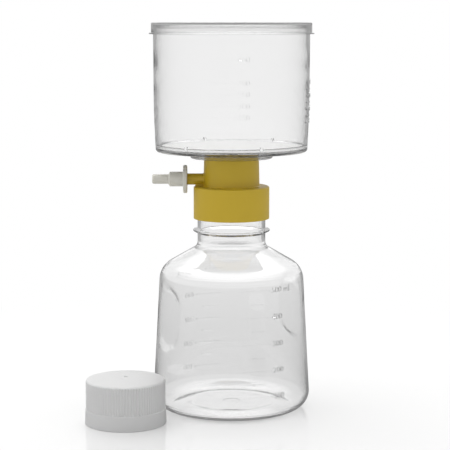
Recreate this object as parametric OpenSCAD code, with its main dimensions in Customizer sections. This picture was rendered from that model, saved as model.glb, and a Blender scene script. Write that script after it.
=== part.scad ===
// Disposable vacuum filtration unit: a lidded funnel with a membrane in its floor, a neck adapter
// with a side arm for the vacuum hose, a receiver bottle and the bottle's own storage cap.
// The bottle's axis is Z, the table is z = 0 and the side arm points along -X.

/* [Receiver bottle] */
// Widest outer diameter of the body, just above its foot
body_d = 102.1; // [92:0.1:125]
// Height at which the side wall would meet the shoulder cone
shoulder_z = 92.75; // [78:0.25:120]
// Draft of the side wall: the body narrows upwards
body_draft = 3.15; // [0:0.05:4]
// Slope of the shoulder cone above the horizontal
shoulder_slope = 30; // [20:1:40]
// Radius between the side wall and the shoulder
shoulder_round = 14; // [6:0.5:16]
// Radius between the side wall and the table
foot_round = 11; // [8:0.5:16]
// Thickness of the blown body wall
body_wall = 1.4; // [0.8:0.1:2]
// Radius of the raised disc in the underside
push_up_r = 30; // [20:0.5:31]
// Height of the raised disc above the table
push_up_h = 2.4; // [1:0.1:5]
// Width of the flat ring that the bottle stands on
land_w = 2.4; // [1:0.1:3]
// Radius of the shallow gate mark in the middle of the underside
gate_r = 5.4; // [3:0.1:8]
// Depth of the gate mark
gate_h = 0.5; // [0.2:0.1:0.8]

/* [Grip dimples] */
// Radius of the dimple's flat floor
dimple_r = 17.5; // [12:0.1:18.5]
// Depth of the floor below the body wall, at the dimple's centre
dimple_depth = 2.6; // [1.5:0.1:5]
// Slope of the dimple's flank against its floor
dimple_slope = 40; // [30:1:75]
// Height of the dimple's centre above the table
dimple_z = 62.5; // [55:0.5:65]
// Turn of the dimples from the side arm, towards the front
dimple_turn = 28; // [0:1:90]

/* [Bottle neck] */
// Outer diameter of the neck, at the root of its thread
neck_d = 44.1; // [36:0.1:48]
// Thickness of the neck wall
neck_wall = 2; // [1.2:0.1:3]
// Length of the neck from the shoulder cone to its lip
neck_len = 36.4; // [35:0.1:45]
// Radius between the neck and the shoulder cone
neck_fillet = 4.5; // [2:0.1:6]
// Diameter of the carrying flange
flange_d = 49.8; // [47:0.1:56]
// Distance from the lip down to the flange
flange_drop = 26.7; // [25.5:0.1:28]
// Thickness of the flange at its edge
flange_t = 0.8; // [0.6:0.1:2]
// Slope of the flange's underside
flange_slope = 30; // [0:1:40]

/* [Closure thread] */
// Rise of the thread for one turn
thread_lead = 5; // [4:0.1:6]
// Number of turns of each thread ridge
thread_turns = 1.25; // [0.5:0.05:1.5]
// Distance from the lip down to the middle of the ridge's lower end
thread_drop = 10.3; // [9.5:0.1:12]
// Height of the thread ridge above the neck
thread_depth = 1; // [0.5:0.05:1.2]
// Width of the ridge's crest
thread_crest = 1; // [0.6:0.1:1.2]
// Axial play between the flanks of two threads in mesh
thread_play = 0.2; // [0.1:0.05:0.5]
// Radial clearance between the neck and what screws onto it
thread_gap = 0.25; // [0.15:0.05:0.5]

/* [Neck adapter] */
// Wall of the threaded collar, outside its bore
collar_wall = 1.25; // [1.2:0.05:3]
// Height of the collar
collar_h = 21; // [18:0.5:24]
// Thickness of the collar's top
collar_top_t = 1.3; // [1.2:0.1:3]
// Radius of the collar's upper edge
collar_round = 1.1; // [0.5:0.1:1.2]
// Outer diameter of the stem where it leaves the collar
stem_d = 36.4; // [30:0.1:38]
// Draft of the stem
stem_draft = 1.4; // [0:0.1:2]
// Wall of the stem
stem_wall = 1.7; // [1.2:0.1:2.5]
// Bare length of the stem between the collar and the support plate
stem_len = 18.3; // [12:0.1:24]
// Depth that the stem enters the support plate
stem_seat = 3.8; // [2:0.1:4]

/* [Side arm] */
// Outer diameter of the arm
arm_d = 7.3; // [6:0.1:9]
// Bore of the arm
arm_bore_d = 5.2; // [4:0.1:5.6]
// Distance from the bottle axis to the arm's end
arm_reach = 28.65; // [26:0.05:40]
// How far the arm's root flares at the stem
arm_flare = 0.6; // [0.2:0.1:1.5]
// Gap between the collar's top and the arm, which the arm's web fills
arm_rise = 0.85; // [0:0.05:3]

/* [Hose connector] */
// Diameter of the hand flange
grip_d = 18.2; // [12:0.1:24]
// Thickness of the hand flange
grip_t = 2.6; // [1.5:0.1:4]
// Diameter of the barrel for wide hose
wide_d = 9.6; // [8:0.1:11]
// Length of the barrel for wide hose
wide_len = 8.6; // [6:0.1:14]
// Length of the cone between the two barrels
step_len = 1.1; // [0.5:0.1:3]
// Diameter of the tip for narrow hose
narrow_d = 6.2; // [5:0.1:7]
// Length of the tip for narrow hose
narrow_len = 10.4; // [7:0.1:16]
// Bore through the connector
connector_bore_d = 3; // [2:0.1:3.6]
// Length of the spigot inside the arm
spigot_len = 5.2; // [3:0.1:6]
// Length of the fibre plug in the arm
plug_len = 4.8; // [3:0.1:5]
// Gap between the plug and the spigot
plug_gap = 0.2; // [0.1:0.1:1]

/* [Neck gasket] */
// Thickness of the gasket on the bottle's lip
gasket_t = 0.9; // [0.8:0.1:2]
// How far the gasket reaches past the lip, inside and outside
gasket_lap = 0.4; // [0:0.1:0.9]

/* [Support plate] */
// Height of the plate's rim
rim_h = 2.85; // [2.4:0.05:4]
// Thickness of the floor over the stem
plate_floor_t = 1.2; // [0.8:0.1:1.6]
// Depth of the drain space at the membrane's edge
drain_h = 0.8; // [0.4:0.1:1.2]
// Width of the shelf under the membrane's edge
shelf_w = 1.8; // [1:0.1:3]
// How far the underside falls from the rim to the boss
saucer = 1.8; // [0:0.1:3]
// Width of the boss around the stem
boss_wall = 8.8; // [4:0.1:9]
// How far the boss hangs below the plate's rim
boss_drop = 4.2; // [3.4:0.1:6]
// Radius of the drip spout's bore
spout_r = 4.5; // [3:0.1:6]
// Wall of the drip spout
spout_wall = 1.4; // [1:0.1:2]
// Length of the drip spout below the plate
spout_len = 29; // [20:0.5:30]
// Distance between two rings of the membrane's grid
grid_pitch = 5.4; // [4:0.1:8]
// Width of a grid ring
grid_w = 1; // [0.6:0.1:1.5]
// Number of drain channels that cross the rings
channels = 12; // [6:2:16]
// Width of a drain channel
channel_w = 2; // [1:0.1:3]

/* [Membrane] */
// Diameter of the membrane
membrane_d = 93.2; // [80:0.1:110]
// Thickness of the membrane
membrane_t = 0.35; // [0.15:0.05:0.6]

/* [Upper chamber] */
// Height of the chamber above the support plate
chamber_h = 78; // [50:0.5:120]
// Wall of the chamber
chamber_wall = 1.9; // [1.2:0.1:2.5]
// Gap between the membrane's edge and the weld face around it
membrane_gap = 0.1; // [0.05:0.05:0.3]
// Width of the weld face around the membrane
weld_w = 2.3; // [1.5:0.1:3]
// How far the wall widens from its foot to its belly
belly = 1.05; // [0:0.05:2]
// Height of the belly above the support plate
belly_z = 23; // [12:0.5:30]
// How far the wall widens from its belly to its rim
chamber_draft = 0.2; // [0:0.05:1]
// How far the lid flange stands out from the wall
lid_flange_w = 2.7; // [1.5:0.1:4]
// Thickness of the lid flange
lid_flange_t = 0.8; // [0.5:0.1:1.5]
// Distance from the rim down to the lid flange
lid_flange_drop = 5.6; // [3:0.1:8]
// Width of the lip that holds the membrane down
clamp_w = 1.1; // [0.6:0.1:2]
// Thickness of that lip
clamp_t = 0.5; // [0.3:0.1:1]
// Number of gussets round the membrane
gussets = 6; // [3:1:12]
// Thickness of a gusset, which stands out from the wall as far as it is thick
gusset_t = 1.6; // [0.8:0.1:2.4]
// Height of a gusset above the membrane
gusset_h = 2.6; // [1:0.1:5]
// Direction of the first gusset, from +X
gusset_turn = 53; // [0:1:120]

/* [Lid] */
// Wall of the lid's skirt
lid_wall = 1.15; // [0.8:0.05:2]
// Thickness of the lid's flat top
lid_top_t = 1.5; // [0.8:0.05:2]
// Clearance between the lid and the chamber
lid_gap = 0.15; // [0.1:0.05:0.4]
// Depth of the ring that centres the lid in the chamber's mouth
lid_ring_h = 2.2; // [1:0.1:4]
// Thickness of that ring
lid_ring_t = 1; // [0.8:0.05:2]
// Width of the thumb pad on the lid's skirt
pad_w = 4; // [2:0.5:12]
// Height of the thumb pad
pad_h = 4; // [1:0.1:4]
// How far the thumb pad stands out
pad_t = 0.5; // [0.2:0.1:1]
// Direction of the thumb pad, from +X
pad_turn = -95; // [-180:1:180]

/* [Storage cap] */
// Height of the cap's rim
cap_h = 27.8; // [24:0.1:30]
// Rise of the cap's domed top above its rim
cap_dome = 1.6; // [0.5:0.1:3]
// Wall of the cap outside its bore, at the roots of the ribs
cap_wall = 1.55; // [1:0.05:3]
// Thickness of the cap's top
cap_top_t = 2.5; // [1:0.1:2.8]
// Thickness of the seal lip inside the cap
seal_t = 1.2; // [0.8:0.1:2]
// Length of the seal lip
seal_len = 2.6; // [1.5:0.1:4]
// Height of the grip ribs
rib_h = 0.24; // [0.1:0.01:0.6]
// Number of grip ribs
ribs = 90; // [30:6:120]
// Height of the smooth band below the ribs
band_h = 9.6; // [3:0.1:12]
// How far the smooth band flares out
band_flare = 0.6; // [0.2:0.05:1]
// How far the band narrows towards its top
band_draft = 0.35; // [0:0.05:0.5]
// Radius of the cap's upper edge
cap_round = 1.8; // [1:0.1:4]
// Gap between the bottle and the cap that stands beside it
cap_clear = 3; // [1:0.5:30]
// Direction in which the cap stands, from the side arm towards the front
cap_turn = 33; // [20:1:80]

/* [Hidden] */
$fn = 96;
over = 0.5;              // overlap of fused solids and overshoot of cuts
arc_step = 7.5;          // turn of an outline between two points on a round
ridge_sunk = 0.6;        // how deep a thread ridge's base is sunk into its wall
ridge_flank = 1;         // axial width of one sloping flank of a thread ridge
ridge_steps = 30;        // sections of a thread ridge in one turn
run_out = 3;             // sections over which a ridge rises from its wall at each end
pip_r = 1.1;             // moulding gate mark
pip_h = 0.4;
edge_round = 0.3;        // rounding of thin moulded edges
soft_round = 0.5;        // rounding of thick moulded edges
root_round = 0.8;        // rounding in moulded corners
fit_gap = 0.05;          // clearance of pieces that are pressed or welded together
skirt_gap = 0.1;         // clearance under the lid's skirt
dimple_round = 5;        // rounding at both ends of the dimple's flank
brim_slope = 12;         // slope to which the dimple's flank flattens at its rim
push_up_round = 20;      // rounding at the edge of the raised disc
land_round = 5;          // rounding at the inner edge of the land
gate_round = 0.2;        // rounding at the edge of the gate mark
bow_r = 400;             // radius between the two drafts of the chamber wall
seal_gap = 0.2;          // clearance of the cap's seal lip in the bottle's mouth

// Section of a thread ridge, as [distance out from the wall, height]
ridge_foot = [-ridge_sunk, thread_crest / 2 + ridge_flank];
ridge_top = [thread_depth, thread_crest / 2];

// Levels, from the table up
neck_r = neck_d / 2;
neck_in_r = neck_r - neck_wall;
neck_root_z = cone_z(neck_r);
lip_z = neck_root_z + neck_len;
flange_z = lip_z - flange_drop;
collar_top_z = lip_z + gasket_t + collar_top_t;
collar_z = collar_top_z - collar_h;
boss_z = collar_top_z + stem_len;
rim_z = boss_z + boss_drop;
seat_z = rim_z + rim_h;
chamber_top_z = seat_z + chamber_h;
lid_flange_z = chamber_top_z - lid_flange_drop;
lid_top_z = chamber_top_z + lid_gap + lid_top_t;

// Radii
bore_r = neck_r + thread_depth + thread_gap;
// Axial distance between two ridges in mesh, from the flanks where their depths overlap
flank_run = (thread_depth - thread_gap) * ridge_flank / (thread_depth + ridge_sunk);
mesh_shift = thread_crest + flank_run + thread_play;
// Level of the lower end of a closure's ridge, below the lip that it closes on
ridge_drop = thread_drop + mesh_shift;
collar_r = bore_r + collar_wall;
stem_r = stem_d / 2;
stem_top_r = stem_r - (stem_len + stem_seat) * tan(stem_draft);
socket_r = stem_r - stem_len * tan(stem_draft) + fit_gap;
boss_r = socket_r + boss_wall;
membrane_r = membrane_d / 2;
weld_in_r = membrane_r + membrane_gap;
rim_r = weld_in_r + weld_w;
belly_r = rim_r + belly;
chamber_r = belly_r + chamber_draft;
lid_in_r = chamber_r + lid_gap;
lid_r = lid_in_r + lid_wall;
cap_bore_r = bore_r;
cap_r = cap_bore_r + cap_wall;
cap_tip_r = cap_r + rib_h;
band_r = cap_tip_r + band_flare;
arm_r = arm_d / 2;
arm_z = collar_top_z + arm_rise + arm_r;
cap_away = body_d / 2 + cap_clear + band_r;

// The cap's top slopes up from its rim and rounds off to a flat middle
dome_slope = atan(2 * cap_dome / cap_tip_r);
dome_round = 0.7 * cap_tip_r / 2 / tan(dome_slope / 2);
dome_z = cap_h + cap_dome;
// Level at which the bottle's lip meets the cap's roof
cap_seat_z = cap_slope_z(neck_r) - cap_top_t;

// Radius of the flat ring's outer edge
land_r = wall_r(0) - foot_round * tan((90 - body_draft) / 2);

// Radius of the bottle's side wall at a height
function wall_r(z) = body_d / 2 - (z - foot_round) * tan(body_draft);
// Height of the bottle's shoulder cone at a radius
function cone_z(r) = shoulder_z + (wall_r(shoulder_z) - r) * tan(shoulder_slope);

// Height of the sloped part of the cap's top at a radius
function cap_slope_z(r) = cap_h + (cap_tip_r - r) * tan(dome_slope);

function unit(v) = v / norm(v);
// Points of the arc that rounds corner q, between neighbours p and s, with radius r
function corner(p, q, s, r) =
    let (
        u = unit(p - q),
        w = unit(s - q),
        half = acos(u * w) / 2,
        centre = q + unit(u + w) * r / sin(half),
        from = q + u * r / tan(half) - centre,
        to = q + w * r / tan(half) - centre,
        start = atan2(from[1], from[0]),
        raw = atan2(to[1], to[0]) - start,
        turn = raw > 180 ? raw - 360 : raw < -180 ? raw + 360 : raw,
        steps = max(2, ceil(abs(turn) / arc_step))
    )
    [for (i = [0 : steps]) centre + r * [cos(start + turn * i / steps), sin(start + turn * i / steps)]];
function flat(p) = [p[0], p[1]];
// Outline through corners [x, y] that are sharp and [x, y, radius] that are rounded
function rounded(path) = [
    for (i = [0 : len(path) - 1])
        let (
            n = len(path),
            before = flat(path[(i + n - 1) % n]),
            after = flat(path[(i + 1) % n])
        )
        each len(path[i]) < 3 ? [path[i]] : corner(before, flat(path[i]), after, path[i][2])
];

// Solid of revolution about Z from corners [r, z] or [r, z, radius]
module turned(path) {
    rotate_extrude() polygon(rounded(path));
}

// Places its children with their Z along the side arm, z = 0 on the bottle axis
module along_arm() {
    translate([0, 0, arm_z]) rotate([0, -90, 0]) children();
}

// ---- Closure thread ----

// Corners of one section of a ridge at angle a. side is 1 on an outer wall and -1 in a bore, and
// grow runs from 0, sunk in the wall, to 1, at full depth.
function ridge_section(wall, side, z, a, grow) =
    let (
        top = ridge_top[0] * grow - (1 - grow) * ridge_sunk / 2,
        out = [ridge_foot[0], top, top, ridge_foot[0]],
        up = [-ridge_foot[1], -ridge_top[1], ridge_top[1], ridge_foot[1]]
    )
    [for (i = [0 : 3]) [(wall + side * out[i]) * cos(a), (wall + side * out[i]) * sin(a), z + up[i]]];

// Right-handed ridge on a wall of that radius, from its lower end upwards
module thread_ridge(wall, side) {
    n = ceil(thread_turns * ridge_steps);
    k = 4;
    sections = [
        for (i = [0 : n])
            let (turn = thread_turns * i / n)
            ridge_section(wall, side, thread_lead * turn, 360 * turn, min(1, i / run_out, (n - i) / run_out))
    ];
    faces = concat(
        [[for (j = [0 : k - 1]) j]],
        [
            for (i = [0 : n - 1])
                for (j = [0 : k - 1])
                    let (here = i * k, next = here + k, up = (j + 1) % k)
                    each [[here + j, next + j, next + up], [here + j, next + up, here + up]]
        ],
        [[for (j = [k - 1 : -1 : 0]) n * k + j]]
    );
    polyhedron(
        points = [for (section = sections) each section],
        faces = side < 0 ? faces : [for (f = faces) [for (i = [len(f) - 1 : -1 : 0]) f[i]]]
    );
}

// ---- Receiver bottle ----

module bottle_outside() {
    flange_r = flange_d / 2;
    turned([
        [0, push_up_h + gate_h],
        [gate_r, push_up_h + gate_h, gate_round],
        [gate_r, push_up_h, gate_round],
        [push_up_r, push_up_h, push_up_round],
        [land_r - land_w, 0, land_round],
        [wall_r(0), 0, foot_round],
        [wall_r(shoulder_z), shoulder_z, shoulder_round],
        [neck_r, neck_root_z, neck_fillet],
        [neck_r, flange_z - (flange_r - neck_r) * tan(flange_slope)],
        [flange_r, flange_z, edge_round],
        [flange_r, flange_z + flange_t, edge_round],
        [neck_r, flange_z + flange_t],
        [neck_r, lip_z, soft_round],
        [0, lip_z]
    ]);
}

// The outside moved in by the wall, with each corner where the moved faces meet
module bottle_inside() {
    w = body_wall;
    ramp = atan2(push_up_h, land_r - land_w - push_up_r);
    ramp_shift = w * tan(ramp / 2);
    sink = w / cos(shoulder_slope);
    shoulder_r = wall_r(shoulder_z) - w;
    turned([
        [0, push_up_h + w],
        [push_up_r + ramp_shift, push_up_h + w, push_up_round + w],
        [land_r - land_w + ramp_shift, w, land_round + w],
        [wall_r(w) - w, w, foot_round - w],
        [shoulder_r, cone_z(shoulder_r) - sink, shoulder_round - w],
        [neck_in_r, cone_z(neck_in_r) - sink, neck_fillet + neck_wall],
        [neck_in_r, lip_z + over],
        [0, lip_z + over]
    ]);
}

// What a dimple takes out of a form: a dish, open outwards, whose floor is parallel to the side
// wall. inset moves the dish inwards, and grow widens it.
module dimple_cut(inset, grow) {
    foot_r = dimple_r + grow;
    brim_r = foot_r + dimple_depth / tan(dimple_slope);
    brim_w = 2 * dimple_depth;
    brim_z = dimple_depth + brim_w * tan(brim_slope);
    translate([-wall_r(dimple_z), 0, dimple_z])
        rotate([0, -90 + body_draft, 0])
            translate([0, 0, -dimple_depth - inset])
                turned([
                    [0, 0],
                    [foot_r, 0, dimple_round + inset],
                    [brim_r, dimple_depth, dimple_round - inset],
                    [brim_r + brim_w, brim_z],
                    [0, brim_z]
                ]);
}

module both_dimples(inset, grow) {
    for (side = [0, 180])
        rotate([0, 0, side + dimple_turn]) dimple_cut(inset, grow);
}

module receiver_bottle() {
    color([0.86, 0.88, 0.89, 0.4])
        difference() {
            union() {
                bottle_outside();
                translate([0, 0, lip_z - thread_drop]) thread_ridge(neck_r, 1);
            }
            both_dimples(0, 0);
            difference() {
                bottle_inside();
                both_dimples(body_wall, body_wall * tan(dimple_slope / 2));
            }
        }
}

// ---- Filter head ----

module neck_gasket() {
    color([0.93, 0.93, 0.91])
        translate([0, 0, lip_z])
            difference() {
                cylinder(r = neck_r + gasket_lap, h = gasket_t);
                translate([0, 0, -over]) cylinder(r = neck_in_r - gasket_lap, h = gasket_t + 2 * over);
            }
}

module neck_adapter() {
    top_in_z = collar_top_z - collar_top_t;
    stem_end_z = boss_z + stem_seat;
    color([0.72, 0.6, 0.2]) {
        difference() {
            union() {
                turned([
                    [bore_r, collar_z, edge_round],
                    [collar_r, collar_z, edge_round],
                    [collar_r, collar_top_z, collar_round],
                    [stem_r, collar_top_z, root_round],
                    [stem_top_r, stem_end_z],
                    [stem_top_r - stem_wall, stem_end_z],
                    [stem_r - stem_wall, top_in_z, edge_round],
                    [bore_r, top_in_z, edge_round]
                ]);
                difference() {
                    side_arm();
                    cylinder(r = stem_top_r - stem_wall / 2, h = stem_end_z);
                }
            }
            along_arm() cylinder(d = arm_bore_d, h = arm_reach + over);
        }
        translate([0, 0, lip_z - ridge_drop]) thread_ridge(bore_r, -1);
    }
}

// The arm with its flared root at the stem and the web that ties it to the collar
module side_arm() {
    web_w = arm_r;
    along_arm() {
        cylinder(r = arm_r, h = arm_reach);
        translate([0, 0, stem_top_r - stem_wall])
            cylinder(r1 = arm_r + 2 * arm_flare, r2 = arm_r, h = stem_wall + 2 * arm_flare);
    }
    translate([-(collar_r - collar_round), -web_w / 2, collar_top_z - over])
        cube([collar_r - stem_r, web_w, arm_rise + arm_r]);
}

module vent_plug() {
    color([0.96, 0.96, 0.94])
        along_arm()
            translate([0, 0, arm_reach - spigot_len - plug_gap - plug_len])
                cylinder(d = arm_bore_d, h = plug_len);
}

module hose_connector() {
    bore = connector_bore_d / 2;
    spigot_r = arm_bore_d / 2 - fit_gap;
    wide_z = grip_t + wide_len;
    tip_z = wide_z + step_len + narrow_len;
    color([0.8, 0.8, 0.78])
        along_arm()
            translate([0, 0, arm_reach])
                turned([
                    [bore, -spigot_len, edge_round / 2],
                    [spigot_r, -spigot_len, edge_round],
                    [spigot_r, fit_gap],
                    [grip_d / 2, fit_gap, soft_round],
                    [grip_d / 2, grip_t, soft_round],
                    [wide_d / 2, grip_t, soft_round],
                    [wide_d / 2, wide_z],
                    [narrow_d / 2, wide_z + step_len],
                    [narrow_d / 2, tip_z, root_round],
                    [bore, tip_z, edge_round]
                ]);
}

// Rings that carry the membrane, cut across by the drain channels
module membrane_grid(floor_in_z, edge_r) {
    difference() {
        for (r = [spout_r + spout_wall : grid_pitch : edge_r - grid_w - channel_w])
            translate([0, 0, floor_in_z - over])
                difference() {
                    cylinder(r = r + grid_w, h = seat_z - floor_in_z + over);
                    translate([0, 0, -over]) cylinder(r = r, h = seat_z - floor_in_z + 3 * over);
                }
        for (i = [0 : channels / 2 - 1])
            rotate([0, 0, (i + 0.5) * 360 / channels])
                translate([-edge_r, -channel_w / 2, floor_in_z - 2 * over])
                    cube([2 * edge_r, channel_w, seat_z]);
    }
}

module support_plate() {
    spout_out_r = spout_r + spout_wall;
    roof_z = boss_z + stem_seat;
    in_z = roof_z + plate_floor_t;
    shelf_in_r = weld_in_r - shelf_w;
    rim_in_r = rim_r - rim_h;
    color([0.84, 0.86, 0.87, 0.5]) {
        turned([
            [spout_r, roof_z - spout_len],
            [spout_out_r, roof_z - spout_len, edge_round],
            [spout_out_r, roof_z, root_round],
            [socket_r, roof_z],
            [socket_r, boss_z, edge_round],
            [boss_r, boss_z, root_round],
            [boss_r, rim_z - saucer, root_round],
            [rim_in_r, rim_z, root_round],
            [rim_r, rim_z, rim_h - root_round],
            [rim_r, seat_z],
            [shelf_in_r, seat_z],
            [shelf_in_r, seat_z - drain_h, edge_round],
            [spout_r, in_z]
        ]);
        membrane_grid(in_z, shelf_in_r);
    }
}

module membrane() {
    color([0.97, 0.97, 0.97])
        translate([0, 0, seat_z]) cylinder(r = membrane_r, h = membrane_t);
}

module upper_chamber() {
    clamp_z = seat_z + membrane_t;
    foot_in_r = rim_r - chamber_wall;
    clamp_r = foot_in_r - clamp_w;
    flange_r = chamber_r + lid_flange_w;
    color([0.86, 0.88, 0.89, 0.4]) {
        turned([
            [weld_in_r, seat_z],
            [rim_r, seat_z, edge_round],
            [belly_r, seat_z + belly_z, bow_r],
            [chamber_r, lid_flange_z],
            [flange_r, lid_flange_z, edge_round],
            [flange_r, lid_flange_z + lid_flange_t, edge_round],
            [chamber_r, lid_flange_z + lid_flange_t],
            [chamber_r, chamber_top_z, soft_round],
            [chamber_r - chamber_wall, chamber_top_z, soft_round],
            [belly_r - chamber_wall, seat_z + belly_z, bow_r],
            [foot_in_r, clamp_z + clamp_t + clamp_w, root_round],
            [clamp_r, clamp_z + clamp_t, edge_round],
            [clamp_r, clamp_z],
            [weld_in_r, clamp_z]
        ]);
        for (i = [0 : gussets - 1])
            rotate([0, 0, gusset_turn + i * 360 / gussets])
                translate([foot_in_r - gusset_t, -gusset_t / 2, clamp_z])
                    cube([gusset_t + over, gusset_t, gusset_h]);
    }
}

module lid() {
    ring_r = chamber_r - chamber_wall - lid_gap;
    under_z = lid_top_z - lid_top_t;
    skirt_z = lid_flange_z + lid_flange_t + skirt_gap;
    skirt_h = lid_top_z - skirt_z;
    color([0.88, 0.9, 0.91, 0.4]) {
        turned([
            [0, under_z],
            [ring_r - lid_ring_t, under_z, edge_round],
            [ring_r - lid_ring_t, under_z - lid_ring_h, edge_round],
            [ring_r, under_z - lid_ring_h, soft_round],
            [ring_r, under_z, edge_round / 2],
            [lid_in_r, under_z, edge_round / 2],
            [lid_in_r, skirt_z],
            [lid_r, skirt_z, edge_round],
            [lid_r, lid_top_z, soft_round],
            [0, lid_top_z]
        ]);
        rotate([0, 0, pad_turn])
            translate([lid_r - over, -pad_w / 2, skirt_z + (skirt_h - pad_h) / 2])
                cube([over + pad_t, pad_w, pad_h]);
    }
}

// ---- Storage cap ----

// Cross-section of the ribbed side. Each rib is a small trapezium, and rib_shape holds its
// corners as [share of the pitch, share of the height].
module ribbed_section(r) {
    pitch = 360 / ribs;
    rib_shape = [[0.1, 0], [0.35, 1], [0.65, 1], [0.9, 0]];
    polygon([
        for (i = [0 : ribs - 1])
            for (c = rib_shape)
                (r + rib_h * c[1]) * [cos((i + c[0]) * pitch), sin((i + c[0]) * pitch)]
    ]);
}

module cap_outside() {
    intersection() {
        linear_extrude(height = dome_z + over) ribbed_section(cap_r);
        turned([
            [0, 0],
            [band_r, 0],
            [cap_tip_r, cap_h, cap_round],
            [cap_tip_r / 2, dome_z, dome_round],
            [0, dome_z]
        ]);
    }
    turned([
        [0, 0],
        [band_r, 0, edge_round],
        [band_r - band_draft, band_h, edge_round],
        [0, band_h]
    ]);
}

// The bore with its wider mouth, under a roof of even thickness
module cap_hollow() {
    mouth_r = cap_bore_r + thread_depth - thread_gap;
    mouth_h = 1;
    turned([
        [0, -over],
        [mouth_r, -over],
        [mouth_r, mouth_h],
        [cap_bore_r, mouth_h + thread_depth],
        [cap_bore_r, cap_slope_z(cap_bore_r) - cap_top_t, root_round],
        [cap_tip_r / 2, dome_z - cap_top_t, dome_round],
        [0, dome_z - cap_top_t]
    ]);
}

// The lip that seals in the bottle's mouth, chamfered to find its way in
module cap_seal() {
    seal_r = neck_in_r - seal_gap;
    seal_z = cap_seat_z - seal_len;
    root_z = cap_slope_z(seal_r - seal_t) - cap_top_t + over;
    lead_in = seal_t / 3;
    turned([
        [seal_r - seal_t, seal_z],
        [seal_r - lead_in, seal_z],
        [seal_r, seal_z + seal_t],
        [seal_r, root_z],
        [seal_r - seal_t, root_z]
    ]);
}

module storage_cap() {
    color([0.9, 0.9, 0.9])
        rotate([0, 0, cap_turn])
            translate([-cap_away, 0, 0]) {
                difference() {
                    cap_outside();
                    cap_hollow();
                }
                cap_seal();
                translate([0, 0, cap_seat_z - ridge_drop]) thread_ridge(cap_bore_r, -1);
                translate([0, 0, dome_z - over]) cylinder(r = pip_r, h = over + pip_h);
            }
}

receiver_bottle();
neck_gasket();
neck_adapter();
vent_plug();
hose_connector();
support_plate();
membrane();
upper_chamber();
lid();
storage_cap();
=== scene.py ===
"""Clear vacuum filtration unit.

Finishes every moulded piece, raises the scales on the bottle and the chamber, and sets a pale
studio.
"""

import math

import bpy
from mathutils import Matrix, Vector


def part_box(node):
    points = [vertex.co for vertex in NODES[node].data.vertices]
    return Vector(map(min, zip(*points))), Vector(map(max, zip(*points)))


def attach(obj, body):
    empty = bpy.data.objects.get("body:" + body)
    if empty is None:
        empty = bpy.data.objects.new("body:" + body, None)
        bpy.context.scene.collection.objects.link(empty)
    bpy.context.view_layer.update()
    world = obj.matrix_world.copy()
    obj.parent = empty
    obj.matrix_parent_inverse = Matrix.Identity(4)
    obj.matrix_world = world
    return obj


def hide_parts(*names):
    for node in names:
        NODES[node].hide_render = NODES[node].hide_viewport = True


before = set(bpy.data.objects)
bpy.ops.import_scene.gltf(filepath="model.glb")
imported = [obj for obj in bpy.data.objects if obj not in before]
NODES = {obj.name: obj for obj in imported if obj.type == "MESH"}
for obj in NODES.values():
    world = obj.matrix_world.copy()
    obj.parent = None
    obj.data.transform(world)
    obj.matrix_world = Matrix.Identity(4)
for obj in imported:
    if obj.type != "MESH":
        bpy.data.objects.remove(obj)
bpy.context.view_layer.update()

bl_info = {
    "name": "Vacuum filtration unit",
    "version": (1, 0, 0),
    "blender": (4, 5, 0),
    "location": "3D View > Sidebar > Filtration",
    "description": "Finishes the moulded pieces of a disposable filtration unit and sets its stage",
    "category": "Object",
}

MM = 0.001

# Points that are closer than this are one point, and faces this near to a level lie in it
WELD = 0.002 * MM
LEVEL_SLACK = 0.005 * MM

# Level of the chamber's foot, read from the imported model, and the air that is left under it
CHAMBER_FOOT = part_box("upper_chamber")[0].z
FOOT_AIR = 0.02 * MM

# The bottle's body: where its neck is joined on, half the gap that the join bridges, the radii
# that the neck's inner and outer rings lie between, and the number of steps that it is spun in
NECK_CUT = 112 * MM
NECK_GAP = 0.5 * MM
NECK_RINGS = ((18 * MM, 21 * MM), (21 * MM, 24 * MM))
BODY_STEPS = 240

# The grip dimples: the levels and rows of their net, how far their softening reaches from their
# middle and over what length it fades, and how often it is repeated
GRIP_LOW, GRIP_HIGH = 32 * MM, 92 * MM
GRIP_ROWS = 52
GRIP_REACH, GRIP_FADE = 29 * MM, 5 * MM
GRIP_PASSES = 12

# A radius that is clear of every wall, and one that only the bottle's side walls are past
OUTSIDE = 60 * MM
SIDE_WALLS = 40 * MM

# The least that a dimple moves a point of the wall
LEAST_PRESS = 0.06 * MM

# How deep raised marks are sunk into their wall
SUNK = 0.25 * MM

# The scales below give heights in mm, and facings in degrees round from the front. A line has a
# start and an end along the wall, and a number has a start.

# The bottle's scale, on its front right and again turned half round
BOTTLE_FACINGS = (30, 210)
BOTTLE_LINE = (-18 * MM, 0.0)
BOTTLE_HALF_LINE = (-12.2 * MM, -5.0 * MM)
BOTTLE_NUMBER_START = 1.6 * MM
BOTTLE_NUMBERS = ((83.7, "500 mL"), (66.7, "400"), (49.7, "300"), (33.0, "200"), (16.5, "100"))
BOTTLE_HALF_HEIGHTS = (75.2, 58.2, 41.3, 24.7)

# The chamber's front scale: a line for each 50 mL with a short one below it, and the lines that
# have a number, counted up from the lowest
CHAMBER_FACING = -5.7
CHAMBER_LINE = (-7.6 * MM, 7.6 * MM)
CHAMBER_HALF_LINE = (-4.6 * MM, 4.0 * MM)
CHAMBER_NUMBER_START = 8.6 * MM
CHAMBER_FIRST_LINE, CHAMBER_PITCH, CHAMBER_LINES = 192.2, 7.1, 8
CHAMBER_HALF_DROP = 3.5
CHAMBER_NUMBERS = ((0, "150"), (1, "200"), (2, "250"), (3, "300"), (5, "400"))

# The chamber's side scale, whose numbers start at its facing
SIDE_FACING = 84
SIDE_LINE = (-12.0 * MM, -2.0 * MM)
SIDE_FIRST_LINE, SIDE_PITCH, SIDE_LINES = 187.7, 4.2, 7
SIDE_NUMBERS = ((0, "4"), (2, "6"), (4, "8"), (6, "10"))

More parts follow.
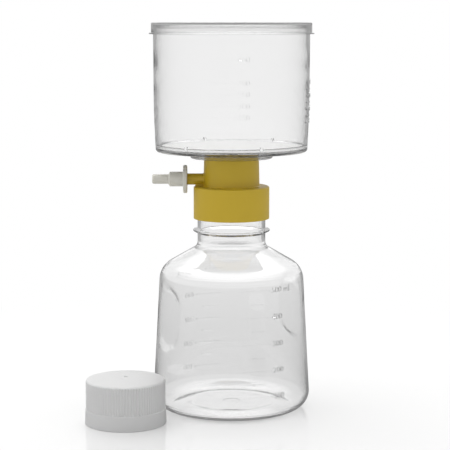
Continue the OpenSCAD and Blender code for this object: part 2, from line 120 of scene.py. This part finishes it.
# The lamps' names, powers in watts, widths and places, and the point that both face
LAMPS = (
    ("soft_overhead", 7.5, 1.2, (-0.1, 0.35, 1.1)),
    ("soft_left", 0.8, 0.6, (-0.9, -0.5, 0.5)),
)
LAMP_TARGET = (0, 0, 0.12)

# The camera's place, how many degrees it looks down, and its lens and sensor in mm
CAMERA_PLACE = (-4.2 * MM, -987 * MM, 249 * MM)
CAMERA_PITCH = 7.45
CAMERA_LENS, CAMERA_SENSOR = 122.4, 36


# ---- Sizes and colours that a user may change ----

def srgb(code):
    """A colour written as sRGB hex, as the linear RGBA that shaders take."""
    parts = [int(code[i:i + 2], 16) / 255 for i in (0, 2, 4)]
    return [c / 12.92 if c <= 0.04045 else ((c + 0.055) / 1.055) ** 2.4 for c in parts] + [1.0]


def size_property(name, description, default):
    """A length in metres, which may be halved or doubled."""
    return bpy.props.FloatProperty(
        name=name, description=description, default=default, min=default / 2, max=default * 2,
        unit="LENGTH", precision=5)


def colour_property(name, description, code):
    return bpy.props.FloatVectorProperty(
        name=name, description=description, default=srgb(code), min=0, max=1, size=4,
        subtype="COLOR")


class FILTRATION_PG_scales(bpy.types.PropertyGroup):
    """Sizes of the raised scales"""

    relief: size_property("Relief", "Height of the marks above the wall", 0.5 * MM)
    bottle_line: size_property("Bottle lines", "Width of the lines on the bottle", 0.8 * MM)
    chamber_line: size_property("Chamber lines", "Width of the lines on the chamber", 0.8 * MM)
    bottle_digit: size_property("Bottle numbers", "Size of the numbers on the bottle", 5.4 * MM)
    chamber_digit: size_property("Chamber numbers", "Size of the numbers on the chamber", 5.0 * MM)


class FILTRATION_PG_colours(bpy.types.PropertyGroup):
    """Colours of the pigmented pieces and the tint of the clear ones"""

    adapter: colour_property("Neck adapter", "Pigment of the neck adapter", "C4A621")
    connector: colour_property("Hose connector", "Natural colour of the connector", "D0CEC5")
    cap: colour_property("Storage cap", "Pigment of the storage cap", "D0D0D0")
    membrane: colour_property("Membrane", "Colour of the dry membrane", "F6F6F5")
    gasket: colour_property("Gasket", "Colour of the neck gasket", "EEEEEA")
    fibre: colour_property("Fibre plug", "Colour of the plug in the side arm", "F2F2EE")
    floor: colour_property("Floor", "Colour of the sheet that the unit stands on", "E8E8E8")
    tint: bpy.props.FloatProperty(
        name="Tint", description="How strongly a clear wall darkens what is seen along it, in 1/m",
        default=12, min=0, max=60)


# ---- Functions that the operators share ----

def add_node(tree, kind, settings=None, links=None, **attributes):
    """Adds a node with its attributes, socket settings and incoming links, and returns it.

    Sockets that share a name are given by number. In a Mix node the two inputs are 2 and 3 for
    plain values, and 6 and 7 for colours.
    """
    node = tree.nodes.new(kind)
    for key, value in attributes.items():
        setattr(node, key, value)
    for key, value in (settings or {}).items():
        node.inputs[key].default_value = value
    for key, source in (links or {}).items():
        tree.links.new(source, node.inputs[key])
    return node


def new_material(name):
    """An empty material: its node tree and its output node."""
    material = bpy.data.materials.new(name)
    material.use_nodes = True
    material.node_tree.nodes.clear()
    return material, material.node_tree, add_node(material.node_tree, "ShaderNodeOutputMaterial")


def select_only(*pieces):
    bpy.ops.object.select_all(action="DESELECT")
    for piece in pieces:
        piece.select_set(True)
    bpy.context.view_layer.objects.active = pieces[0]


def finish_with(piece, kind, **settings):
    """Adds a modifier with its settings and applies it."""
    select_only(piece)
    modifier = piece.modifiers.new(kind.lower(), kind)
    for key, value in settings.items():
        setattr(modifier, key, value)
    bpy.ops.object.modifier_apply(modifier=modifier.name)


def copy_of_node(node, name):
    """A copy of a CAD node as one closed skin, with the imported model's own shading cleared."""
    piece = bpy.data.objects.new(name, NODES[node].data.copy())
    bpy.context.scene.collection.objects.link(piece)
    select_only(piece)
    bpy.ops.mesh.customdata_custom_splitnormals_clear()
    bpy.ops.object.mode_set(mode="EDIT")
    bpy.ops.mesh.select_all(action="SELECT")
    bpy.ops.mesh.remove_doubles(threshold=WELD)
    bpy.ops.object.mode_set(mode="OBJECT")
    return piece


def shade(piece, angle=30):
    """Smooth shading up to an angle between faces, led by the larger faces."""
    select_only(piece)
    bpy.ops.object.shade_smooth_by_angle(angle=math.radians(angle))
    finish_with(piece, "WEIGHTED_NORMAL", keep_sharp=True)


def shift_level(piece, level, shift):
    """Moves the faces that lie flat at a level, to leave air between two clear pieces."""
    select_only(piece)
    bpy.ops.object.mode_set(mode="EDIT")
    bpy.ops.mesh.select_all(action="DESELECT")
    bpy.ops.object.mode_set(mode="OBJECT")
    for vertex in piece.data.vertices:
        vertex.select = abs(vertex.co.z - level) < LEVEL_SLACK
    bpy.ops.object.mode_set(mode="EDIT")
    bpy.ops.transform.translate(value=(0, 0, shift))
    bpy.ops.object.mode_set(mode="OBJECT")


def stand_for(piece, node, body, material):
    """Gives a finished piece its material and puts it in place of its CAD node."""
    piece.data.materials.clear()
    piece.data.materials.append(material)
    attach(piece, body)
    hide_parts(node)


# ---- Blown body of the bottle ----

def cut(piece, point, normal, clear_behind=False, clear_ahead=False):
    """Cuts a piece by a plane, and clears what lies behind or ahead of it."""
    select_only(piece)
    bpy.ops.object.mode_set(mode="EDIT")
    bpy.ops.mesh.select_all(action="SELECT")
    bpy.ops.mesh.bisect(
        plane_co=point, plane_no=normal, clear_inner=clear_behind, clear_outer=clear_ahead,
        threshold=1e-7)
    bpy.ops.object.mode_set(mode="OBJECT")


def bridge_rings(piece, low, high, inner, outer):
    """Bridges the two open rings that lie between two levels and two radii."""
    select_only(piece)
    bpy.ops.object.mode_set(mode="EDIT")
    bpy.ops.mesh.select_mode(type="VERT")
    bpy.ops.mesh.select_all(action="DESELECT")
    bpy.ops.object.mode_set(mode="OBJECT")
    for vertex in piece.data.vertices:
        vertex.select = low < vertex.co.z < high and inner < vertex.co.xy.length < outer
    bpy.ops.object.mode_set(mode="EDIT")
    bpy.ops.mesh.select_mode(type="EDGE")
    bpy.ops.mesh.bridge_edge_loops()
    bpy.ops.mesh.select_mode(type="VERT")
    bpy.ops.object.mode_set(mode="OBJECT")


def spun_body(node, name, top, steps):
    """The CAD bottle's section up to a level, turned about the axis as an even net of faces."""
    body = copy_of_node(node, name)
    cut(body, (0, 0, 0), (1, 0, 0), clear_behind=True, clear_ahead=True)
    cut(body, (0, 0, 0), (0, 1, 0), clear_ahead=True)
    cut(body, (0, 0, top), (0, 0, 1), clear_ahead=True)
    for row in range(GRIP_ROWS + 1):
        level = GRIP_LOW + (GRIP_HIGH - GRIP_LOW) * row / GRIP_ROWS
        cut(body, (0, 0, level), (0, 0, 1))
    bpy.ops.object.mode_set(mode="EDIT")
    bpy.ops.mesh.select_all(action="SELECT")
    bpy.ops.mesh.spin(steps=steps, angle=2 * math.pi, center=(0, 0, 0), axis=(0, 0, 1))
    bpy.ops.mesh.select_all(action="SELECT")
    bpy.ops.mesh.remove_doubles(threshold=WELD)
    bpy.ops.mesh.normals_make_consistent(inside=False)
    bpy.ops.object.mode_set(mode="OBJECT")
    return body


def press_grips(piece, node):
    """Presses both walls in to the CAD bottle's grip dimples, and returns the points it moved."""
    cad = NODES[node]
    pressed = []
    for vertex in piece.data.vertices:
        spot = vertex.co
        if not GRIP_LOW < spot.z < GRIP_HIGH or spot.xy.length < SIDE_WALLS:
            continue
        outward = Vector((spot.x, spot.y, 0)).normalized()
        axis = Vector((0, 0, spot.z))
        if vertex.normal.dot(outward) > 0:
            found, hit, _, _ = cad.ray_cast(axis + outward * OUTSIDE, -outward)
        else:
            found, hit, _, _ = cad.ray_cast(axis, outward)
        if found and spot.xy.length - hit.xy.length > LEAST_PRESS:
            pressed.append(vertex.index)
            vertex.co = hit
    return pressed


def soften_grips(piece, pressed):
    """Rounds the rims of the dimples as a blown wall does, with a falloff around each."""
    spots = [piece.data.vertices[i].co.copy() for i in pressed]
    group = piece.vertex_groups.new(name="grips")
    for side in (-1, 1):
        mine = [spot for spot in spots if spot.x * side > 0]
        centre = sum(mine, Vector()) / len(mine)
        for vertex in piece.data.vertices:
            away = (vertex.co - centre).length
            weight = min(1, (GRIP_REACH - away) / GRIP_FADE)
            if weight > 0 and vertex.co.x * side > 0:
                group.add([vertex.index], weight, "REPLACE")
    finish_with(piece, "SMOOTH", factor=0.5, iterations=GRIP_PASSES, vertex_group="grips")
    piece.vertex_groups.clear()


def blown_bottle(node, name):
    """The CAD bottle with its body as an even skin, and its neck as it was cut."""
    neck = copy_of_node(node, name)
    cut(neck, (0, 0, NECK_CUT + NECK_GAP), (0, 0, 1), clear_behind=True)
    body = spun_body(node, name + "_body", NECK_CUT - NECK_GAP, BODY_STEPS)
    select_only(neck, body)
    bpy.ops.object.join()
    reach = NECK_GAP + LEVEL_SLACK
    for inner, outer in NECK_RINGS:
        bridge_rings(neck, NECK_CUT - reach, NECK_CUT + reach, inner, outer)
    bpy.ops.object.mode_set(mode="EDIT")
    bpy.ops.mesh.select_all(action="SELECT")
    bpy.ops.mesh.normals_make_consistent(inside=False)
    bpy.ops.object.mode_set(mode="OBJECT")
    soften_grips(neck, press_grips(neck, node))
    return neck


# ---- Raised scales ----

def flat_line(start, end, height, thick):
    """A line of a scale, flat on the layout, from start to end along the wall."""
    bpy.ops.mesh.primitive_grid_add(
        x_subdivisions=8, y_subdivisions=1, size=1, location=((start + end) / 2, height, 0))
    line = bpy.context.object
    line.scale = (end - start, thick, 1)
    bpy.ops.object.transform_apply(location=True, rotation=False, scale=True)
    return line


def flat_number(text, start, height, size):
    """A number of a scale, flat on the layout, with its left edge at start."""
    bpy.ops.object.text_add(location=(start, height, 0))
    letters = bpy.context.object
    letters.data.body = text
    letters.data.size = size
    letters.data.align_y = "CENTER"
    letters.data.resolution_u = 3
    bpy.ops.object.convert(target="MESH")
    letters = bpy.context.object
    bpy.ops.object.transform_apply(location=True, rotation=True, scale=True)
    bpy.ops.object.mode_set(mode="EDIT")
    bpy.ops.mesh.select_all(action="SELECT")
    bpy.ops.mesh.remove_doubles(threshold=0.01 * MM)
    bpy.ops.object.mode_set(mode="OBJECT")
    return letters


def raise_on_wall(marks, wall, facing, relief):
    """Joins flat marks, lays them on a wall in the direction they face, and thickens them."""
    select_only(*marks)
    bpy.ops.object.join()
    scale = bpy.context.object
    turn = Matrix.Rotation(math.radians(facing), 4, "Z") @ Matrix.Rotation(math.radians(90), 4, "X")
    scale.matrix_world = turn @ Matrix.Translation((0, 0, OUTSIDE))
    finish_with(
        scale, "SHRINKWRAP", target=wall, wrap_method="PROJECT", use_project_z=True,
        use_positive_direction=False, use_negative_direction=True)
    finish_with(
        scale, "SOLIDIFY", thickness=relief + SUNK, offset=(relief - SUNK) / (relief + SUNK),
        use_even_offset=False)
    finish_with(
        scale, "BEVEL", width=relief * 0.45, segments=2, limit_method="ANGLE",
        angle_limit=math.radians(60), use_clamp_overlap=True)
    bpy.ops.object.transform_apply(location=True, rotation=True, scale=True)
    bpy.ops.object.mode_set(mode="EDIT")
    bpy.ops.mesh.select_all(action="SELECT")
    bpy.ops.mesh.normals_make_consistent(inside=False)
    bpy.ops.object.mode_set(mode="OBJECT")
    return scale


def mould_in(piece, *additions):
    """Unites raised marks with the piece that they were moulded with."""
    for addition in additions:
        finish_with(piece, "BOOLEAN", operation="UNION", solver="EXACT", object=addition)
        bpy.data.objects.remove(addition)


# ---- Materials ----

def clear_polystyrene(name, wave_mm, wave_depth_mm, absorption):
    """Crystal polystyrene, which lets light for shadows and soft bounces straight through.

    Blown walls wander a little in thickness, which bends what is seen through them, and injected
    walls are near flat. A trace of grey builds up where the eye looks along a wall.
    """
    material, tree, output = new_material(name)
    place = add_node(tree, "ShaderNodeTexCoord")
    wander = add_node(
        tree, "ShaderNodeTexNoise", {"Scale": 1 / (wave_mm * MM), "Detail": 1.0, "Roughness": 0.4},
        {"Vector": place.outputs["Object"]})
    bend = add_node(
        tree, "ShaderNodeBump", {"Strength": 1.0, "Distance": wave_depth_mm * MM},
        {"Height": wander.outputs[0]})
    skin = add_node(
        tree, "ShaderNodeBsdfPrincipled",
        {"Base Color": srgb("FFFFFF"), "Roughness": 0.0, "IOR": 1.59, "Transmission Weight": 1.0},
        {"Normal": bend.outputs[0]})
    inside = add_node(
        tree, "ShaderNodeVolumeAbsorption", {"Color": srgb("808080"), "Density": absorption})
    path = add_node(tree, "ShaderNodeLightPath")
    lighting = add_node(
        tree, "ShaderNodeMath", None,
        {0: path.outputs["Is Shadow Ray"], 1: path.outputs["Is Diffuse Ray"]}, operation="MAXIMUM")
    passed = add_node(tree, "ShaderNodeBsdfTransparent", {"Color": srgb("F2F2F2")})
    skin = add_node(
        tree, "ShaderNodeMixShader", None,
        {0: lighting.outputs[0], 1: skin.outputs[0], 2: passed.outputs[0]})
    tree.links.new(skin.outputs[0], output.inputs["Surface"])
    tree.links.new(inside.outputs[0], output.inputs["Volume"])
    return material


def satin_plastic(name, colour, roughness, grain_mm, grain_depth_mm, glow=0.0):
    """A pigmented plastic with a fine even grain, which softens the highlight."""
    material, tree, output = new_material(name)
    place = add_node(tree, "ShaderNodeTexCoord")
    grain = add_node(
        tree, "ShaderNodeTexNoise", {"Scale": 1 / (grain_mm * MM), "Detail": 3.0},
        {"Vector": place.outputs["Object"]})
    cloud = add_node(
        tree, "ShaderNodeTexNoise", {"Scale": 1 / (14 * MM), "Detail": 2.0},
        {"Vector": place.outputs["Object"]})
    polish = add_node(
        tree, "ShaderNodeMapRange",
        {"From Min": 0.3, "From Max": 0.7, "To Min": roughness - 0.04, "To Max": roughness + 0.04},
        {"Value": cloud.outputs[0]})
    tone = add_node(
        tree, "ShaderNodeMix", {6: [c * 0.97 for c in colour[:3]] + [1], 7: colour},
        {0: cloud.outputs[0]}, data_type="RGBA")
    relief = add_node(
        tree, "ShaderNodeBump", {"Strength": 1.0, "Distance": grain_depth_mm * MM},
        {"Height": grain.outputs[0]})
    skin = add_node(
        tree, "ShaderNodeBsdfPrincipled",
        {"IOR": 1.5, "Subsurface Weight": glow, "Subsurface Radius": (1, 1, 1),
         "Subsurface Scale": 1.5 * MM},
        {"Base Color": tone.outputs[2], "Roughness": polish.outputs[0],
         "Normal": relief.outputs[0]})
    tree.links.new(skin.outputs[0], output.inputs["Surface"])
    return material


# ---- Operators ----

class FILTRATION_OT_receiver_bottle(bpy.types.Operator):
    """Finishes the blown receiver bottle, with its raised scales and the ring in its base"""

    bl_idname = "filtration.receiver_bottle"
    bl_label = "Receiver bottle"

    def execute(self, context):
        scales = context.scene.filtration_scales
        line, digit = scales.bottle_line, scales.bottle_digit
        bottle = blown_bottle("receiver_bottle", "blown_bottle")
        sides = []
        for facing in BOTTLE_FACINGS:
            marks = []
            for height, text in BOTTLE_NUMBERS:
                marks.append(flat_line(*BOTTLE_LINE, height * MM, line))
                marks.append(flat_number(text, BOTTLE_NUMBER_START, height * MM, digit))
            for height in BOTTLE_HALF_HEIGHTS:
                marks.append(flat_line(*BOTTLE_HALF_LINE, height * MM, line))
            sides.append(raise_on_wall(marks, bottle, facing, scales.relief))
        mould_in(bottle, *sides)
        shade(bottle)
        # Crystal polystyrene, injection blown: glass-clear, with the slow waver of a blown wall,
        # dark outlines where the eye looks along the wall, and marks that show only by how they
        # bend light.
        tint = context.scene.filtration_colours.tint
        plastic = clear_polystyrene(
            "blown_polystyrene", wave_mm=16, wave_depth_mm=0.12, absorption=tint)
        stand_for(bottle, "receiver_bottle", "bottle", plastic)
        return {"FINISHED"}


class FILTRATION_OT_upper_chamber(bpy.types.Operator):
    """Finishes the injected chamber, with its raised scales"""

    bl_idname = "filtration.upper_chamber"
    bl_label = "Upper chamber"

    def execute(self, context):
        scales = context.scene.filtration_scales
        line, digit = scales.chamber_line, scales.chamber_digit
        chamber = copy_of_node("upper_chamber", "injected_chamber")
        shift_level(chamber, CHAMBER_FOOT, FOOT_AIR)
        front = []
        for step in range(CHAMBER_LINES):
            height = CHAMBER_FIRST_LINE + CHAMBER_PITCH * step
            front.append(flat_line(*CHAMBER_LINE, height * MM, line))
            front.append(flat_line(*CHAMBER_HALF_LINE, (height - CHAMBER_HALF_DROP) * MM, line))
        for step, text in CHAMBER_NUMBERS:
            height = CHAMBER_FIRST_LINE + CHAMBER_PITCH * step
            front.append(flat_number(text, CHAMBER_NUMBER_START, height * MM, digit))
        front = raise_on_wall(front, chamber, CHAMBER_FACING, scales.relief)
        side = []
        for step in range(SIDE_LINES):
            height = SIDE_FIRST_LINE + SIDE_PITCH * step
            side.append(flat_line(*SIDE_LINE, height * MM, line))
        for step, text in SIDE_NUMBERS:
            height = SIDE_FIRST_LINE + SIDE_PITCH * step
            side.append(flat_number(text, 0.0, height * MM, digit))
        side = raise_on_wall(side, chamber, SIDE_FACING, scales.relief)
        mould_in(chamber, front, side)
        shade(chamber)
        # Crystal polystyrene, injection moulded over a polished core: glass-clear and even, so that
        # the far wall shows through the near one, with a thin grey line where the wall turns away.
        tint = context.scene.filtration_colours.tint
        plastic = clear_polystyrene(
            "injected_polystyrene", wave_mm=40, wave_depth_mm=0.03, absorption=tint)
        stand_for(chamber, "upper_chamber", "filter_head", plastic)
        return {"FINISHED"}


class FILTRATION_OT_support_plate(bpy.types.Operator):
    """Finishes the support plate and the membrane that lies on it"""

    bl_idname = "filtration.support_plate"
    bl_label = "Support plate and membrane"

    def execute(self, context):
        colours = context.scene.filtration_colours
        plate = copy_of_node("support_plate", "injected_plate")
        shade(plate)
        # The chamber's polystyrene, moulded with a net of channels: clear, and grey under the
        # membrane because its many edges turn the light aside.
        plastic = clear_polystyrene(
            "plate_polystyrene", wave_mm=40, wave_depth_mm=0.03, absorption=colours.tint)
        stand_for(plate, "support_plate", "filter_head", plastic)
        # A cast microporous film on a net: dry, chalk-white and without any shine.
        NODES["membrane"].material_slots[0].material = satin_plastic(
            "cast_membrane", colours.membrane, roughness=0.7, grain_mm=0.4, grain_depth_mm=0.01)
        return {"FINISHED"}


class FILTRATION_OT_lid(bpy.types.Operator):
    """Finishes the loose lid"""

    bl_idname = "filtration.lid"
    bl_label = "Lid"

    def execute(self, context):
        colours = context.scene.filtration_colours
        lid = copy_of_node("lid", "injected_lid")
        shade(lid)
        # The chamber's polystyrene again: a thin clear disc that shows as a grey band at its skirt.
        plastic = clear_polystyrene(
            "lid_polystyrene", wave_mm=40, wave_depth_mm=0.03, absorption=colours.tint)
        stand_for(lid, "lid", "cover", plastic)
        return {"FINISHED"}


class FILTRATION_OT_neck_adapter(bpy.types.Operator):
    """Finishes the yellow neck adapter and the gasket under it"""

    bl_idname = "filtration.neck_adapter"
    bl_label = "Neck adapter and gasket"

    def execute(self, context):
        colours = context.scene.filtration_colours
        adapter = copy_of_node("neck_adapter", "moulded_adapter")
        shade(adapter)
        # Pigmented ABS, injection moulded in a spark-eroded mould: opaque mustard yellow with a
        # soft, wide highlight and no grain that the eye picks out at arm's length.
        plastic = satin_plastic(
            "satin_abs", colours.adapter, roughness=0.42, grain_mm=0.35, grain_depth_mm=0.006)
        stand_for(adapter, "neck_adapter", "filter_head", plastic)
        # A punched disc of closed-cell foam: off-white and dull.
        NODES["neck_gasket"].material_slots[0].material = satin_plastic(
            "gasket_foam", colours.gasket, roughness=0.8, grain_mm=0.5, grain_depth_mm=0.03)
        return {"FINISHED"}


class FILTRATION_OT_hose_fitting(bpy.types.Operator):
    """Finishes the hose connector and the fibre plug behind it"""

    bl_idname = "filtration.hose_fitting"
    bl_label = "Hose connector and plug"

    def execute(self, context):
        colours = context.scene.filtration_colours
        connector = copy_of_node("hose_connector", "moulded_connector")
        shade(connector)
        # Polypropylene without pigment, injection moulded: milky and a little warm, and light that
        # goes into it comes out again nearby, so its thin tip looks paler than its flange.
        plastic = satin_plastic(
            "natural_polypropylene", colours.connector, roughness=0.35, grain_mm=0.35,
            grain_depth_mm=0.004, glow=0.5)
        stand_for(connector, "hose_connector", "hose_fitting", plastic)
        # A plug of pressed fibre: white and quite matt.
        NODES["vent_plug"].material_slots[0].material = satin_plastic(
            "plug_fibre", colours.fibre, roughness=0.9, grain_mm=0.15, grain_depth_mm=0.05)
        return {"FINISHED"}


class FILTRATION_OT_storage_cap(bpy.types.Operator):
    """Finishes the storage cap that stands beside the bottle"""

    bl_idname = "filtration.storage_cap"
    bl_label = "Storage cap"

    def execute(self, context):
        colours = context.scene.filtration_colours
        cap = copy_of_node("storage_cap", "moulded_cap")
        shade(cap)
        # White polyethylene, injection moulded: waxy and soft, with ribs that fade because light
        # spreads under the skin from one to the next.
        plastic = satin_plastic(
            "white_polyethylene", colours.cap, roughness=0.38, grain_mm=0.35,
            grain_depth_mm=0.004, glow=0.7)
        stand_for(cap, "storage_cap", "cap", plastic)
        return {"FINISHED"}


class FILTRATION_OT_stage(bpy.types.Operator):
    """Sets the pale floor, the world, the lamps and the camera"""

    bl_idname = "filtration.stage"
    bl_label = "Stage"

    def execute(self, context):
        bpy.ops.object.select_all(action="DESELECT")
        self.floor(context.scene.filtration_colours.floor)
        self.world()
        self.lamps()
        self.camera()
        context.scene.view_settings.view_transform = "Standard"
        return {"FINISHED"}

    def floor(self, colour):
        """A glossy white sheet, which turns into a plain white backdrop away from the unit.

        Through a clear wall only the backdrop is seen, with painted shade that makes it a little
        darker near the unit. In a reflection the floor is painted dim, like the room, with painted
        shade that makes it dimmer still near the unit.
        """
        bpy.ops.mesh.primitive_circle_add(
            vertices=96, radius=12, fill_type="NGON", location=(0, 0, -0.1 * MM))
        floor = bpy.context.object
        floor.name = "floor"
        bpy.ops.object.transform_apply(location=True, rotation=True, scale=True)
        # A lacquered white sheet: plain, with a faint reflection and a soft shadow at the foot.
        material, tree, output = new_material("pale_floor")
        place = add_node(tree, "ShaderNodeTexCoord")
        away = add_node(
            tree, "ShaderNodeVectorMath", None, {0: place.outputs["Object"]}, operation="LENGTH")
        sheet = add_node(
            tree, "ShaderNodeBsdfPrincipled", {"Base Color": colour, "Roughness": 0.03})
        path = add_node(tree, "ShaderNodeLightPath")
        open_floor = add_node(
            tree, "ShaderNodeMapRange",
            {"From Min": 0.12, "From Max": 0.4, "To Min": 0.12, "To Max": 1.0},
            {"Value": away.outputs["Value"]}, interpolation_type="SMOOTHSTEP")
        # Painted shade: the floor's glow as seen through a clear wall, darker near the unit
        behind = add_node(
            tree, "ShaderNodeMapRange",
            {"From Min": 0.0, "From Max": 1.2, "To Min": 0.76, "To Max": 1.0},
            {"Value": away.outputs["Value"]}, interpolation_type="SMOOTHSTEP")
        # Painted shade: the floor's glow as a reflection shows it, dim like the room and darker
        # still near the unit
        around = add_node(
            tree, "ShaderNodeMapRange",
            {"From Min": 0.06, "From Max": 0.25, "To Min": 0.28, "To Max": 0.45},
            {"Value": away.outputs["Value"]}, interpolation_type="SMOOTHSTEP")
        mirrored = add_node(
            tree, "ShaderNodeMath", {1: 0.5}, {0: path.outputs["Glossy Depth"]},
            operation="GREATER_THAN")
        straight = add_node(
            tree, "ShaderNodeMix", {2: 1.0},
            {0: path.outputs["Is Transmission Ray"], 3: behind.outputs[0]}, data_type="FLOAT")
        level = add_node(
            tree, "ShaderNodeMix", None,
            {0: mirrored.outputs[0], 2: straight.outputs[0], 3: around.outputs[0]},
            data_type="FLOAT")
        glow = add_node(
            tree, "ShaderNodeEmission", {"Color": srgb("FFFFFF")}, {"Strength": level.outputs[0]})
        direct = add_node(
            tree, "ShaderNodeMath", None,
            {0: open_floor.outputs[0], 1: path.outputs["Is Camera Ray"]}, operation="MULTIPLY")
        bounced = add_node(
            tree, "ShaderNodeMath", None,
            {0: path.outputs["Is Transmission Ray"], 1: path.outputs["Is Glossy Ray"]},
            operation="MAXIMUM")
        share = add_node(
            tree, "ShaderNodeMath", None, {0: direct.outputs[0], 1: bounced.outputs[0]},
            operation="MAXIMUM")
        mix = add_node(
            tree, "ShaderNodeMixShader", None,
            {0: share.outputs[0], 1: sheet.outputs[0], 2: glow.outputs[0]})
        tree.links.new(mix.outputs[0], output.inputs["Surface"])
        floor.data.materials.append(material)

    def world(self):
        """A white backdrop, a soft dome of light, and a room that only reflections show.

        The room is dim at the horizon and has a bright ceiling.
        """
        world = bpy.data.worlds.new("pale_studio")
        bpy.context.scene.world = world
        world.use_nodes = True
        tree = world.node_tree
        tree.nodes.clear()
        output = add_node(tree, "ShaderNodeOutputWorld")
        place = add_node(tree, "ShaderNodeTexCoord")
        apart = add_node(tree, "ShaderNodeSeparateXYZ", None, {0: place.outputs["Generated"]})
        path = add_node(tree, "ShaderNodeLightPath")
        dome = add_node(
            tree, "ShaderNodeMapRange",
            {"From Min": -0.2, "From Max": 1.0, "To Min": 0.55, "To Max": 0.95},
            {"Value": apart.outputs["Z"]})
        horizon = add_node(
            tree, "ShaderNodeMapRange",
            {"From Min": 0.0, "From Max": 0.1, "To Min": 0.45, "To Max": 1.1},
            {"Value": apart.outputs["Z"]}, interpolation_type="SMOOTHSTEP")
        ceiling = add_node(
            tree, "ShaderNodeMapRange",
            {"From Min": 0.2, "From Max": 0.9, "To Min": 0.0, "To Max": 2.8},
            {"Value": apart.outputs["Z"]}, interpolation_type="SMOOTHSTEP")
        room = add_node(
            tree, "ShaderNodeMath", None, {0: horizon.outputs[0], 1: ceiling.outputs[0]},
            operation="MAXIMUM")
        mirrored = add_node(
            tree, "ShaderNodeMath", {1: 0.5}, {0: path.outputs["Glossy Depth"]},
            operation="GREATER_THAN")
        behind = add_node(
            tree, "ShaderNodeMix", {2: 1.0}, {0: mirrored.outputs[0], 3: room.outputs[0]},
            data_type="FLOAT")
        clear = add_node(
            tree, "ShaderNodeMath", None,
            {0: path.outputs["Is Camera Ray"], 1: path.outputs["Is Transmission Ray"]},
            operation="MAXIMUM")
        seen = add_node(
            tree, "ShaderNodeMath", None,
            {0: clear.outputs[0], 1: path.outputs["Is Glossy Ray"]}, operation="MAXIMUM")
        level = add_node(
            tree, "ShaderNodeMix", None,
            {0: seen.outputs[0], 2: dome.outputs[0], 3: behind.outputs[0]}, data_type="FLOAT")
        light = add_node(
            tree, "ShaderNodeBackground", {"Color": srgb("FFFFFF")}, {"Strength": level.outputs[0]})
        tree.links.new(light.outputs[0], output.inputs["Surface"])

    def lamps(self):
        """Two soft lamps, which light the unit but aren't seen in it or through it."""
        for name, power, size, place in LAMPS:
            data = bpy.data.lights.new(name, "AREA")
            data.energy = power
            data.size = size
            lamp = bpy.data.objects.new(name, data)
            lamp.location = place
            lamp.visible_glossy = False
            lamp.visible_transmission = False
            aim = Vector(place) - Vector(LAMP_TARGET)
            lamp.rotation_euler = aim.to_track_quat("Z", "Y").to_euler()
            bpy.context.scene.collection.objects.link(lamp)

    def camera(self):
        """A long lens, a little above the unit and looking slightly down."""
        camera = bpy.data.objects.new("camera", bpy.data.cameras.new("camera"))
        bpy.context.scene.collection.objects.link(camera)
        camera.data.lens = CAMERA_LENS
        camera.data.sensor_width = CAMERA_SENSOR
        camera.location = CAMERA_PLACE
        camera.rotation_euler = (math.radians(90 - CAMERA_PITCH), 0, 0)
        bpy.context.scene.camera = camera


OPERATORS = (
    FILTRATION_OT_receiver_bottle,
    FILTRATION_OT_upper_chamber,
    FILTRATION_OT_support_plate,
    FILTRATION_OT_lid,
    FILTRATION_OT_neck_adapter,
    FILTRATION_OT_hose_fitting,
    FILTRATION_OT_storage_cap,
    FILTRATION_OT_stage,
)


class FILTRATION_PT_panel(bpy.types.Panel):
    """Lists the steps that finish the unit"""

    bl_idname = "FILTRATION_PT_panel"
    bl_label = "Filtration unit"
    bl_space_type = "VIEW_3D"
    bl_region_type = "UI"
    bl_category = "Filtration"

    def draw(self, context):
        for group in (context.scene.filtration_scales, context.scene.filtration_colours):
            box = self.layout.box()
            for key in type(group).__annotations__:
                box.prop(group, key)
        for operator in OPERATORS:
            self.layout.operator(operator.bl_idname)


CLASSES = (FILTRATION_PG_scales, FILTRATION_PG_colours) + OPERATORS + (FILTRATION_PT_panel,)


def register():
    for kind in CLASSES:
        bpy.utils.register_class(kind)
    bpy.types.Scene.filtration_scales = bpy.props.PointerProperty(type=FILTRATION_PG_scales)
    bpy.types.Scene.filtration_colours = bpy.props.PointerProperty(type=FILTRATION_PG_colours)


def unregister():
    del bpy.types.Scene.filtration_colours
    del bpy.types.Scene.filtration_scales
    for kind in reversed(CLASSES):
        bpy.utils.unregister_class(kind)


def main():
    register()
    bpy.ops.filtration.receiver_bottle()
    bpy.ops.filtration.upper_chamber()
    bpy.ops.filtration.support_plate()
    bpy.ops.filtration.lid()
    bpy.ops.filtration.neck_adapter()
    bpy.ops.filtration.hose_fitting()
    bpy.ops.filtration.storage_cap()
    bpy.ops.filtration.stage()


if __name__ == "__main__":
    main()
